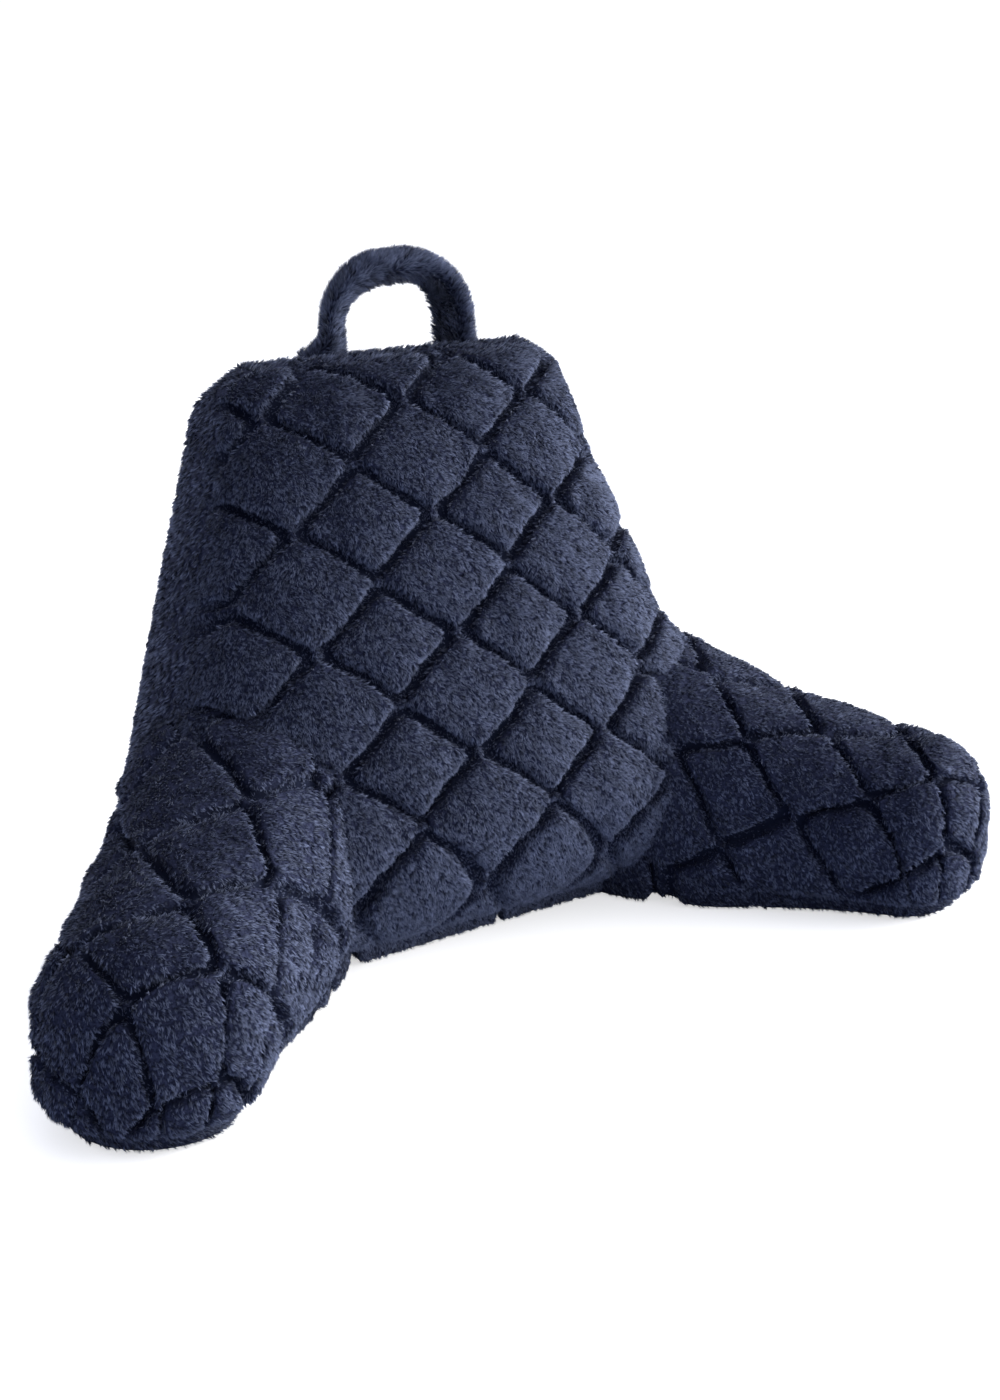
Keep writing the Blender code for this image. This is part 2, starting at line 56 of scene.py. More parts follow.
# %% Camera
def put_in_scene(name, data):
    item = bpy.data.objects.new(name, data)
    scene.collection.objects.link(item)
    return item


CAMERA_PLACE = Vector((-0.4725, -0.9970, 0.5322))
CAMERA_AIM = Vector((0.0261, 0.0288, 0.1559))
CAMERA_ROLL = math.radians(-1.585)
camera_data = bpy.data.cameras.new("camera")
camera_data.lens = 43.005
camera_data.sensor_width = 36.0
camera = put_in_scene("camera", camera_data)
aim = (CAMERA_AIM - CAMERA_PLACE).to_track_quat("-Z", "Y").to_matrix().to_4x4()
camera.matrix_world = Matrix.Translation(CAMERA_PLACE) @ aim @ Matrix.Rotation(CAMERA_ROLL, 4, "Z")
scene.camera = camera
print("camera looks from", [round(x, 3) for x in CAMERA_PLACE])

# %% [markdown]
# ## The channels' grid
# The cloth is sculpted into diamonds by narrow channels. On the flat cloth these are two families of straight
# lines, so every point has a place (i, j) in a grid, and whole numbers are the middles of diamonds. Every
# second diamond is a little larger, and its channels bow into the smaller neighbours. A rule serves better
# than a drawn pattern, because the face and both arms take their own grids from the same few lines.

# %% Grid
CELL_PITCH = 0.0708
CELL_UNEVEN = 0.050


class Lattice:
    """The channels' grid on a flat piece of cloth; whole numbers (i, j) are the middles of diamonds."""

    def __init__(self, first, pitch=CELL_PITCH, squash=1.0, turn=0.0):
        self.first = first
        self.across = pitch / math.sqrt(2)
        self.down = self.across * squash
        self.cosine = math.cos(math.radians(turn))
        self.sine = math.sin(math.radians(turn))

    def step(self, i, j):
        """How far the cloth runs, across and up, for a step of i and j diamonds."""
        across = (i - j) * self.across
        up = -(i + j) * self.down
        return across * self.cosine - up * self.sine, across * self.sine + up * self.cosine

    def place(self, across, up):
        """The grid place of a point of the cloth."""
        across -= self.first[0]
        up -= self.first[1]
        skew = (across * self.cosine + up * self.sine) / self.across
        drop = (across * self.sine - up * self.cosine) / self.down
        return (drop + skew) / 2, (drop - skew) / 2


def cell_uneven(i, j):
    """How a channel shifts towards its smaller diamond, in diamonds."""
    return (-CELL_UNEVEN * math.sin(math.pi * i) * math.cos(math.pi * j),
            -CELL_UNEVEN * math.cos(math.pi * i) * math.sin(math.pi * j))


print("diamonds are", round(CELL_PITCH * 1000, 1), "mm from channel to channel before they are squashed")

# %% [markdown]
# ## A diamond's section
# A diamond is nearly flat on top, rounds over at its shoulder and drops into a channel whose floor is about
# 3 mm wide. The smaller diamonds have round corners. Where two larger ones meet corner to corner, the channel
# between them is only a dip. The rule gives a height and how far a point lies in a channel, because the pile
# is shorter and thinner down there.

# %% Section
CHANNEL_DEPTH = 0.0085
CELL_CROWN = 0.0022
SHOULDER = 0.412          # where the shoulder starts, in diamonds from the middle
FLOOR_OF_CHANNEL = 0.478
BRIDGE = 0.70             # how much of the channel's depth is missing between two larger diamonds
BRIDGE_REACH = 0.085
BRIDGE_SIDE = (0.468, 0.5)    # how near its side a smaller diamond gives way to the dip
ROUND_CORNER = 7.0        # a higher number makes squarer corners


def held_share(value):
    """A share that stays between nought and 1."""
    return min(max(value, 0.0), 1.0)


def smooth_share(value, low, high):
    share = held_share((value - low) / (high - low))
    return share * share * (3 - 2 * share)


def cell_section(i, j):
    """The height over the plain form, and the share of the channel, from nought to 1."""
    from_i = abs(i - round(i))
    from_j = abs(j - round(j))
    straight = max(from_i, from_j)
    near_corner = smooth_share(min(from_i, from_j), 0.5 - BRIDGE_REACH, 0.5 - BRIDGE_REACH / 3)
    larger = (round(i) + round(j)) % 2 == 1
    if larger:
        channel = smooth_share(straight, SHOULDER, FLOOR_OF_CHANNEL) * (1 - BRIDGE * near_corner)
    else:
        rounded = (from_i ** ROUND_CORNER + from_j ** ROUND_CORNER) ** (1 / ROUND_CORNER)
        near_side = smooth_share(straight, *BRIDGE_SIDE)
        channel = smooth_share(rounded, SHOULDER, FLOOR_OF_CHANNEL) * (1 - BRIDGE * near_corner * near_side)
    crown = CELL_CROWN * (1 - min(straight / SHOULDER, 1.0) ** 2)
    return crown - CHANNEL_DEPTH * channel, channel


print("a channel's floor is", round((1 - 2 * FLOOR_OF_CHANNEL) * CELL_PITCH * 1000, 1), "mm wide")

# %% [markdown]
# ## The flat cloth
# A fine grid is laid so that its lines run along the channels, closer together at the shoulders. It is cut to
# the panel's outline with straight cuts, as a maker does with a printed panel and scissors.

# %% Flat cloth
SEAM_TURN = 0.006         # how far the cloth is turned in under the lower seam
HALF_LINES = (0.0, 0.12, 0.24, 0.33, 0.380, 0.412, 0.436, 0.458, 0.478)
SHEET_REACH = 0.64        # about half the size of the uncut sheet
CUT_ROOM = 0.01           # cloth kept past the outline before the straight cuts
MERGE = 0.0006            # points closer together than this become one
HAIR = 1e-6               # lengths below this count as nought


def flat_cloth(lattice, outline):
    """A flat sheet with fine lines along the channels, cut to a convex outline that runs anticlockwise."""
    lines = [-0.5] + [-line for line in reversed(HALF_LINES[1:])] + list(HALF_LINES)
    cells = 2 * math.ceil(SHEET_REACH / CELL_PITCH)
    steps = len(lines) * cells
    sheet = bmesh.new()
    bmesh.ops.create_grid(sheet, x_segments=steps, y_segments=steps, size=cells / 2)

    def line_place(value):
        number = round((value + cells / 2) * len(lines))
        return number // len(lines) - cells // 2 + lines[number % len(lines)]

    for point in sheet.verts:
        across, up = lattice.step(line_place(point.co.x), line_place(point.co.y))
        point.co = Vector((lattice.first[0] + across, lattice.first[1] + up, 0))
    low_x = min(x for x, y in outline) - CUT_ROOM
    high_x = max(x for x, y in outline) + CUT_ROOM
    low_y = min(y for x, y in outline) - CUT_ROOM
    high_y = max(y for x, y in outline) + CUT_ROOM
    far = [point for point in sheet.verts
           if not (low_x < point.co.x < high_x and low_y < point.co.y < high_y)]
    bmesh.ops.delete(sheet, geom=far, context="VERTS")
    for start, end in zip(outline, outline[1:] + outline[:1]):
        outwards = Vector((end[1] - start[1], start[0] - end[0], 0)).normalized()
        bmesh.ops.bisect_plane(sheet, geom=sheet.verts[:] + sheet.edges[:] + sheet.faces[:], dist=HAIR,
                               plane_co=Vector((*start, 0)), plane_no=outwards, clear_outer=True)
    bmesh.ops.remove_doubles(sheet, verts=sheet.verts[:], dist=MERGE)
    return sheet


def turn_under(body, seam):
    """Turn the cloth in under the lower seam, down to the floor."""
    middle = sum((point.co for edge in seam for point in edge.verts), Vector()) / (2 * len(seam))
    made = bmesh.ops.extrude_edge_only(body, edges=seam)
    turned = [item for item in made["geom"] if isinstance(item, bmesh.types.BMVert)]
    for point in turned:
        inwards = Vector((middle.x - point.co.x, middle.y - point.co.y, 0)).normalized()
        point.co += inwards * SEAM_TURN
        point.co.z = 0.0
    return [item for item in made["geom"] if isinstance(item, bmesh.types.BMEdge)]


print("a diamond is laid with", 2 * len(HALF_LINES), "lines each way")

# %% [markdown]
# ## The backrest's form
# The filled form is a rule that lifts the flat panel: a crowned face that is drawn in at its lower seam, a
# band round the sides and the top, and a back that leans out to a deep, stable foot. The panel wraps a little
# way round both sides, so its channels run on there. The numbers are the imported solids' own, so the skin
# falls into the place that the solid holds.

# %% Backrest's form
MIDDLE = Vector((0.0153434, -0.0477107, 0.0))   # the middle of the cushion's box before it is centred
FACE_LENGTH = 0.390
FACE_LEAN = math.radians(21.0)
HALF_WIDTH_LOW = 0.243
HALF_WIDTH_TOP = 0.128
SIDE_FLARE = (1.15, 1.25)
CORNER_RADIUS = 0.022
PANEL_WRAP = 0.045
WRAP_TAPER = 0.080
SIDE_BAND = 0.086
SIDE_BULGE = ((0.0245, 0.002), (0.015, 0.024))
BULGE_RISE = 5.0
TOP_BULGE = (0.013, 0.019)
SIDE_ROUND = (2.4, 0.62)
TOP_ROUND = (7.0, 0.50)
EDGE_HOLD = (8, 12)
BACK_NARROW = 0.004
FACE_CROWN = 0.062
BACK_CROWN = 0.030
BACK_WEDGE = 0.106
TUCK_SHARE = 0.76
TUCK_HEIGHT = 0.070
FACE_TURN = 0.045
BACK_TURN = 0.200
FOOT_SLANT = 0.095
FACE_FOOT = -0.041
TOP_BULGE_FROM = 0.80
BAND_ROWS = 14
SEAM_HEIGHT = 0.014
SEAM_FADE = 0.030
FACE_LATTICE = Lattice((-0.0626, 0.3535), squash=0.817)


def straight_half_width(up):
    return HALF_WIDTH_LOW + (HALF_WIDTH_TOP - HALF_WIDTH_LOW) * up / FACE_LENGTH


def flared_half_width(up, right_side):
    share = held_share(up / FACE_LENGTH)
    return HALF_WIDTH_TOP + (HALF_WIDTH_LOW - HALF_WIDTH_TOP) * (1 - share) ** SIDE_FLARE[right_side]


def face_outline(steps=8):
    """The panel's outline, flat: the face with its wraps round the sides and both top corners rounded."""
    full = FACE_LENGTH - WRAP_TAPER
    right = [(straight_half_width(full) + PANEL_WRAP, full)]
    for step in range(steps + 1):
        turn = math.pi / 2 * step / steps
        across = straight_half_width(FACE_LENGTH) - CORNER_RADIUS * (1 - math.cos(turn))
        up = FACE_LENGTH - CORNER_RADIUS * (1 - math.sin(turn))
        if step == 0:
            across = straight_half_width(up)
        right.append((across, up))
    left = [(-across, up) for across, up in reversed(right)]
    low = HALF_WIDTH_LOW + PANEL_WRAP
    return [(-low, 0.0), (low, 0.0)] + right + left


def face_edge(up):
    """Half the face's width at a height, flat, with the top corner rounded."""
    over = max(0.0, up - (FACE_LENGTH - CORNER_RADIUS))
    return straight_half_width(up) - CORNER_RADIUS + math.sqrt(max(CORNER_RADIUS ** 2 - over ** 2, 0.0))


def backrest_place(across, up, level):
    """Where a point of the backrest lies. level is 1 on the front panel and -1 on the back panel."""
    edge = face_edge(up)
    side_share = min(abs(across) / edge, 1.0)
    up_share = held_share(up / FACE_LENGTH)
    crown = (1 - side_share ** SIDE_ROUND[0]) ** SIDE_ROUND[1]
    crown *= (1 - up_share ** TOP_ROUND[0]) ** TOP_ROUND[1]
    low = max(0.0, 1 - up / TUCK_HEIGHT)
    tuck = 1 - TUCK_SHARE * low ** 2
    face = (SIDE_BAND / 2 + FACE_CROWN * crown) * tuck
    back = SIDE_BAND / 2 + BACK_CROWN * crown + BACK_WEDGE * (1 - up_share)
    if abs(level) == 1:
        i, j = FACE_LATTICE.place(across, up)
        shift = FACE_LATTICE.step(*cell_uneven(i, j))
        fade = (1 - side_share ** EDGE_HOLD[0]) * (1 - up_share ** EDGE_HOLD[1]) * min(1.0, up / SEAM_FADE)
        across += shift[0] * fade
        up += shift[1] * fade
    past_edge = max(0.0, abs(across) - edge)
    level *= 1 - 2 * past_edge / (SIDE_BAND + BACK_WEDGE * (1 - up_share))
    across = max(-edge, min(across, edge))
    depth = face * (1 + level) / 2 - back * (1 - level) / 2
    swell = 1 - level ** 2
    right_side = 0 if across < 0 else 1
    low_bulge, top_bulge = SIDE_BULGE[right_side]
    bulge = (low_bulge + (top_bulge - low_bulge) * up_share ** BULGE_RISE) * swell
    straight = straight_half_width(min(up, FACE_LENGTH))
    narrow = BACK_NARROW * (1 - level) / 2
    across *= flared_half_width(up, right_side) / straight * (1 + (bulge - narrow) / straight)
    rightwards = (across / HALF_WIDTH_TOP + 1) / 2
    raised = TOP_BULGE[0] + (TOP_BULGE[1] - TOP_BULGE[0]) * held_share(rightwards)
    up += raised * swell * max(0.0, (up_share - TOP_BULGE_FROM) / (1 - TOP_BULGE_FROM))
    turn = FACE_TURN * (1 + level) / 2 + BACK_TURN * (1 - level) / 2
    slope = min(1.0, up / turn)
    slope = slope * slope * (3 - 2 * slope)
    foot = FACE_FOOT + FOOT_SLANT * across * low * (1 + level) / 2
    return Vector((across,
                   foot + up * math.sin(FACE_LEAN) - depth * math.cos(FACE_LEAN),
                   SEAM_HEIGHT + up * math.cos(FACE_LEAN) + depth * math.sin(FACE_LEAN) * slope)) - MIDDLE


print("the front panel is", round(FACE_LENGTH * 1000), "mm long and", round(HALF_WIDTH_LOW * 2000), "mm wide")

# %% [markdown]
# ## The backrest's cloth
# A maker sews a front and a back panel to a band. Here the flat panel is copied to the back, the band between
# them is cut into rows, and the rule puts each point in its place.

# %% Backrest's cloth
def backrest_body():
    """The backrest's closed skin, with each point's section kept for the channels and the pile."""
    body = flat_cloth(FACE_LATTICE, face_outline())
    for point in body.verts:
        point.co.z = 1.0
    made = bmesh.ops.extrude_face_region(body, geom=body.faces[:], use_keep_orig=True)
    for item in made["geom"]:
        if isinstance(item, bmesh.types.BMVert):
            item.co.z = -1.0
    open_strip = [face for face in body.faces
                  if all(point.co.y < HAIR for point in face.verts)
                  and len({point.co.z for point in face.verts}) > 1]
    bmesh.ops.delete(body, geom=open_strip, context="FACES")
    for row in range(1, BAND_ROWS):
        level = -1 + 2 * row / BAND_ROWS
        bmesh.ops.bisect_plane(body, geom=body.verts[:] + body.edges[:] + body.faces[:], dist=HAIR,
                               plane_co=Vector((0, 0, level)), plane_no=Vector((0, 0, 1)))
    height = body.verts.layers.float.new("height")
    channel = body.verts.layers.float.new("channel")
    for point in body.verts:
        across, up, level = point.co
        if abs(level) == 1:
            fade = min(1.0, up / SEAM_FADE)
            section = cell_section(*FACE_LATTICE.place(across, up))
            point[height], point[channel] = section[0] * fade, section[1] * fade
        point.co = backrest_place(across, up, level)
    turn_under(body, [edge for edge in body.edges if edge.is_boundary])
    bmesh.ops.contextual_create(body, geom=[edge for edge in body.edges if edge.is_boundary])
    return body


# %% [markdown]
# ## The arms' form
# Each arm is a filled tube that tapers from a root inside the backrest to a round tip. Its cloth is one piece
# that wraps over the top and down both sides to the lower seam. The rule bends the flat cloth round the arm's
# section, and turns it in under the seam to a flat underside.

# %% Arms' form
ARM_ROOT = (0.116, 0.042)
ARMS = (
    {"name": "arm_left", "tip": (-0.2985, -0.2385), "first": (0.213, -0.0155), "turn": 7.0, "pitch": 0.0695,
     "end_height": 0.0640, "lean": 0.12},
    {"name": "arm_right", "tip": (0.3395, -0.2010), "first": (0.160, -0.1070), "turn": -9.0, "pitch": 0.0620,
     "end_height": 0.0585, "lean": 0.08},
)
ARM_HALF_WIDTH = (0.080, 0.0690)
ARM_HALF_HEIGHT = 0.106
ARM_ROOT_NARROW = 0.35
ARM_ROOT_SHARE = 0.30
ARM_SAG = 0.0065
ARM_LIFT = 0.0125
ARM_SQUARENESS = 2.4
ARM_CAP = 0.056
ARM_INNER_FILLET = (0.40, 0.18)
ARM_OUTER_FILLET = (0.28, 0.13)
ARM_FILLET_INNER = 0.009
ARM_FILLET_OUTER = 0.006
ARM_FILLET_TOP = 0.009
ARM_MIDDLE = 0.95
ARM_DROOP = (0.20, 0.08)
ARM_SLACK = 1.07
ARM_FLOOR_FROM = 0.80
ARM_EDGE_HOLD = 10
ARM_WRAP = math.radians(138)
ARM_SEWN = (0.86, 0.96)   # the channels run out between these shares of the way to the seam


class Arm:
    """One arm: a filled tube that tapers from its root to a round tip."""

    def __init__(self, name, tip, first, turn, pitch, end_height, lean):
        self.name = name
        self.side = 1 if tip[0] > 0 else -1
        self.root = Vector((self.side * ARM_ROOT[0], ARM_ROOT[1]))
        run = Vector(tip) - self.root
        self.length = run.length
        self.forwards = run.normalized()
        self.outwards = Vector((-self.forwards.y, self.forwards.x)) * self.side
        self.shaft = self.length - ARM_CAP
        self.end_height = end_height
        self.lean = lean
        self.lattice = Lattice(first, pitch=pitch, turn=turn)

    def sizes(self, along):
        share = held_share(along / self.length)
        half_width = ARM_HALF_WIDTH[0] + (ARM_HALF_WIDTH[1] - ARM_HALF_WIDTH[0]) * share
        half_width *= 1 - ARM_ROOT_NARROW * max(0.0, 1 - share / ARM_ROOT_SHARE) ** 2
        half_height = ARM_HALF_HEIGHT + (self.end_height - ARM_HALF_HEIGHT) * share
        half_height -= 4 * ARM_SAG * share * (1 - share)
        middle = half_height * ARM_MIDDLE + ARM_LIFT * (1 - share)
        return half_width, half_height, middle

    def reach(self, along):
        """Cloth from the ridge down to the lower seam."""
        half_width, half_height, _ = self.sizes(along)
        return ARM_SLACK * ARM_WRAP * (half_width + half_height) / 2

    def gone(self, along, across):
        """How far round the arm a point of the cloth lies: nought on the ridge and 1 at the lower seam."""
        if along > self.shaft:
            return min(math.hypot(along - self.shaft, across) / self.reach(self.shaft), 1.0)
        return min(abs(across) / self.reach(along), 1.0)

    def outline(self, steps=24):
        wide = self.reach(0)
        narrow = self.reach(self.shaft)
        points = [(0.0, -wide)]
        for step in range(steps + 1):
            turn = -math.pi / 2 + math.pi * step / steps
            points.append((self.shaft + narrow * math.cos(turn), narrow * math.sin(turn)))
        points.append((0.0, wide))
        return points

    def place(self, along, across):
        """Where a point of the flat cloth lies on the filled arm."""
        gone = self.gone(along, across)
        if along > self.shaft:
            turn = math.atan2(across, along - self.shaft)
            start = self.shaft
        else:
            turn = math.copysign(math.pi / 2, across)
            start = along
        half_width, half_height, middle = self.sizes(start)
        sideways = math.sin(turn)
        wrap = ARM_WRAP * gone
        droop = ARM_DROOP[0] + (ARM_DROOP[1] - ARM_DROOP[0]) * start / self.shaft
        droop *= max(0.0, -math.cos(wrap))
        power = 2 / ARM_SQUARENESS
        out = math.sin(wrap) ** power * (1 + droop)
        high = math.copysign(abs(math.cos(wrap)) ** power, math.cos(wrap))
        inner = math.exp(-((start / self.length - ARM_INNER_FILLET[0]) / ARM_INNER_FILLET[1]) ** 2)
        outer = math.exp(-((start / self.length - ARM_OUTER_FILLET[0]) / ARM_OUTER_FILLET[1]) ** 2)
        half_width += ARM_FILLET_INNER * inner if sideways < 0 else ARM_FILLET_OUTER * outer
        spot = self.root + self.forwards * (start + ARM_CAP * math.cos(turn) * out)
        spot = spot + self.outwards * half_width * sideways * out
        height = middle + half_height * high + ARM_FILLET_TOP * outer * max(high, 0.0)
        floor_share = held_share((gone - ARM_FLOOR_FROM) / (1 - ARM_FLOOR_FROM))
        height = height * (1 - floor_share) + SEAM_HEIGHT * floor_share
        spot = spot + self.outwards * self.lean * (middle - height) * start / self.shaft
        return Vector((spot.x, spot.y, max(height, SEAM_HEIGHT))) - MIDDLE


for arm in (Arm(**row) for row in ARMS):
    print(arm.name, "is", round(arm.length * 1000), "mm long")


# %% [markdown]
# ## The arms' cloth
# The cloth is cut flat with its own grid, bent into place point by point and turned under. One face closes
# the floor side and one the root, where nothing is seen.

# %% Arms' cloth
def arm_body(arm):
    """The arm's closed skin, with each point's section kept for the channels and the pile."""
    body = flat_cloth(arm.lattice, arm.outline())
    open_edges = [edge for edge in body.edges if edge.is_boundary]
    root_edge = [edge for edge in open_edges if all(point.co.x < 1.5 * MERGE for point in edge.verts)]
    seam = [edge for edge in open_edges if edge not in root_edge]
    height = body.verts.layers.float.new("height")
    channel = body.verts.layers.float.new("channel")
    for point in body.verts:
        along, across = point.co.x, point.co.y
        i, j = arm.lattice.place(along, across)
        shift = arm.lattice.step(*cell_uneven(i, j))
        gone = arm.gone(along, across)
        fade = 1 - gone ** ARM_EDGE_HOLD
        section = cell_section(i, j)
        sewn = 1 - smooth_share(gone, *ARM_SEWN)
        point[height], point[channel] = section[0] * sewn, section[1] * sewn
        point.co = arm.place(along + shift[0] * fade, across + shift[1] * fade)
    floor_edges = [edge for edge in turn_under(body, seam)
                   if edge.is_boundary and all(point.co.z < HAIR for point in edge.verts)]
    ends = [point for edge in floor_edges for point in edge.verts
            if sum(1 for other in point.link_edges if other in floor_edges) == 1]
    closing = body.edges.new(ends)
    bmesh.ops.contextual_create(body, geom=floor_edges + [closing])
    bmesh.ops.holes_fill(body, edges=[edge for edge in body.edges if edge.is_boundary], sides=0)
    return body


# %% [markdown]
# ## Helpers for the skins
# A body is shaped as a bmesh, because its points and edges can be chosen there by rule, and then becomes an
# object. Numpy reads all of its points at once, which is far quicker than one point at a time.

# %% Helpers for the skins
def new_object(name, body):
    """A named object from a bmesh, smooth shaded and facing out."""
    bmesh.ops.recalc_face_normals(body, faces=body.faces[:])
    mesh = bpy.data.meshes.new(name)
    body.to_mesh(mesh)
    body.free()
    mesh.shade_smooth()
    return put_in_scene(name, mesh)


def read_points(mesh):
    places = np.empty(len(mesh.vertices) * 3)
    mesh.vertices.foreach_get("co", places)
    return places.reshape(-1, 3)


def read_layer(mesh, name):
    values = np.empty(len(mesh.vertices))
    mesh.attributes[name].data.foreach_get("value", values)
    return values


# %% [markdown]
# ## The filling
# On the real cushion the fibre presses the cloth out between the channels, which are stitched and hold.
# Blender's Cloth does the same: the skin gets slack, its channels and its underside are held, and pressure
# comes from inside, so each diamond swells and puckers.

# %% Filling
FILL_CAP = 0.0015         # how far the filling may push a point of the skin
FILL_FRAMES = 12
FILL_PRESSURE = 5.0
FILL_SLACK = 0.04         # how much larger the cloth wants to be
CLOTH_MASS = 0.2
CLOTH_QUALITY = 5
HELD_CHANNEL = 0.75       # a point this far into a channel is held by its seam
HELD_HEIGHT = SEAM_HEIGHT * 1.5


def fill_with_pressure(item):
    """Swell the skin between its held channels with the Cloth solver, and keep the result."""
    mesh = item.data
    before = read_points(mesh)
    channel = read_layer(mesh, "channel")
    held = (channel > HELD_CHANNEL) | (before[:, 2] < HELD_HEIGHT)
    group = item.vertex_groups.new(name="held")
    group.add([int(number) for number in np.nonzero(held)[0]], 1.0, "REPLACE")
    cloth = item.modifiers.new("filling", "CLOTH")
    cloth.settings.quality = CLOTH_QUALITY
    cloth.settings.mass = CLOTH_MASS
    cloth.settings.vertex_group_mass = "held"
    cloth.settings.use_pressure = True
    cloth.settings.uniform_pressure_force = FILL_PRESSURE
    cloth.settings.shrink_min = -FILL_SLACK
    cloth.settings.effector_weights.gravity = 0.0
    cloth.collision_settings.use_collision = False
    cloth.point_cache.frame_start = 1
    cloth.point_cache.frame_end = FILL_FRAMES
    for number in range(1, FILL_FRAMES + 1):
        scene.frame_set(number)
    depsgraph = bpy.context.evaluated_depsgraph_get()
    swollen = item.evaluated_get(depsgraph)
    after = read_points(swollen.data)
    item.modifiers.remove(cloth)
    item.vertex_groups.clear()
    move = after - before
    length = np.linalg.norm(move, axis=1, keepdims=True)
    move *= np.minimum(1.0, FILL_CAP / np.maximum(length, 1e-9))
    mesh.vertices.foreach_set("co", (before + move).ravel())
    mesh.update()
    scene.frame_set(1)
    print(item.name, "swelled by up to", round(float(np.linalg.norm(move, axis=1).max()) * 1000, 1), "mm")


# %% [markdown]
# ## From form to skin
# A skin lies a little inside the solid's surface, because the pile that stands on it reaches back out to it.
# The channels are pressed in after the filling, along the skin's normals, so they keep their depth.

# %% Skins
PILE_DEPTH = 0.0024       # how far the skin lies inside the solid's surface
SOFTEN = 0.14             # how much the last smoothing evens out


def press_channels(item):
    """Press the channels in, raise the crowns and draw the whole skin in by the pile's depth."""
    mesh = item.data
    body = bmesh.new()
    body.from_mesh(mesh)
    body.normal_update()
    height = body.verts.layers.float["height"]
    moved = [(point, point.normal * (point[height] - PILE_DEPTH)) for point in body.verts]
    for point, move in moved:
        point.co += move
        point.co.z = max(point.co.z, 0.0)
    bmesh.ops.smooth_vert(body, verts=body.verts[:], factor=SOFTEN,
                          use_axis_x=True, use_axis_y=True, use_axis_z=True)
    body.to_mesh(mesh)
    body.free()
    mesh.update()


def make_skin(name, body):
    item = new_object(name, body)
    fill_with_pressure(item)
    press_channels(item)
    item.data.calc_loop_triangles()
    print(name, len(item.data.loop_triangles), "triangles")
    return item


skins = {"backrest": make_skin("backrest_cushion", backrest_body())}
for row in ARMS:
    skins[row["name"]] = make_skin(row["name"] + "_cushion", arm_body(Arm(**row)))

# %% [markdown]
# ## The carrying strap
# The strap is a tube of the same cloth, turned and flattened, with both ends caught in the top seam. It is
# swept as a row of flat ovals along a path: up, round a corner, across and down again. The ovals turn evenly
# from one leg to the other, as the real strap is twisted.

# %% Strap's path
STRAP_WIDTH = 0.034
STRAP_THICKNESS = (0.0085, 0.0160, 0.0110)
STRAP_TWIST = (24.0, -15.0)
FOOT_FLARE = 0.018
FLARE_HEIGHT = 0.022
STRAP_SQUARENESS = 0.75
LOOP_HALF_SPAN = 0.0475
LOOP_HEIGHT = 0.0602
LOOP_CORNER = 0.040
LOOP_FOOT = 0.030
LOOP_BACK = -0.004
LOOP_ASIDE = 0.0226
LOOP_TILT = 0.09
LOOP_LEAN = 0.125
LOOP_SPLAY = 0.010
SPLAY_FADE = (1.6, 1.5)


def strap_path(steps_up=16, steps_round=22):
    """The strap's middle line: a leg up, a round corner, a flat crown and down again."""
    half = []
    for step in range(steps_up):
        share = step / steps_up
        up = -LOOP_FOOT + (LOOP_HEIGHT - LOOP_CORNER + LOOP_FOOT) * share
        splay = LOOP_SPLAY * max(0.0, 1 - share * SPLAY_FADE[0]) ** SPLAY_FADE[1]
        half.append((-LOOP_HALF_SPAN - splay, up))
    for step in range(steps_round + 1):
        turn = math.pi / 2 * step / steps_round
        half.append((-LOOP_HALF_SPAN + LOOP_CORNER * (1 - math.cos(turn)),
                     LOOP_HEIGHT - LOOP_CORNER * (1 - math.sin(turn))))
    return half + [(-across, up) for across, up in reversed(half)]


strap_length = sum(math.dist(one, two) for one, two in zip(strap_path(), strap_path()[1:]))
print("the strap's middle line is", round(strap_length * 1000), "mm long")


# %% [markdown]
# ## The strap's cloth
# Each oval stands square to the path. The strap is thickest at its crown, and its left foot flares outwards,
# as cloth does that is pulled into a seam. Bridged neighbours keep the rows of faces along the strap.

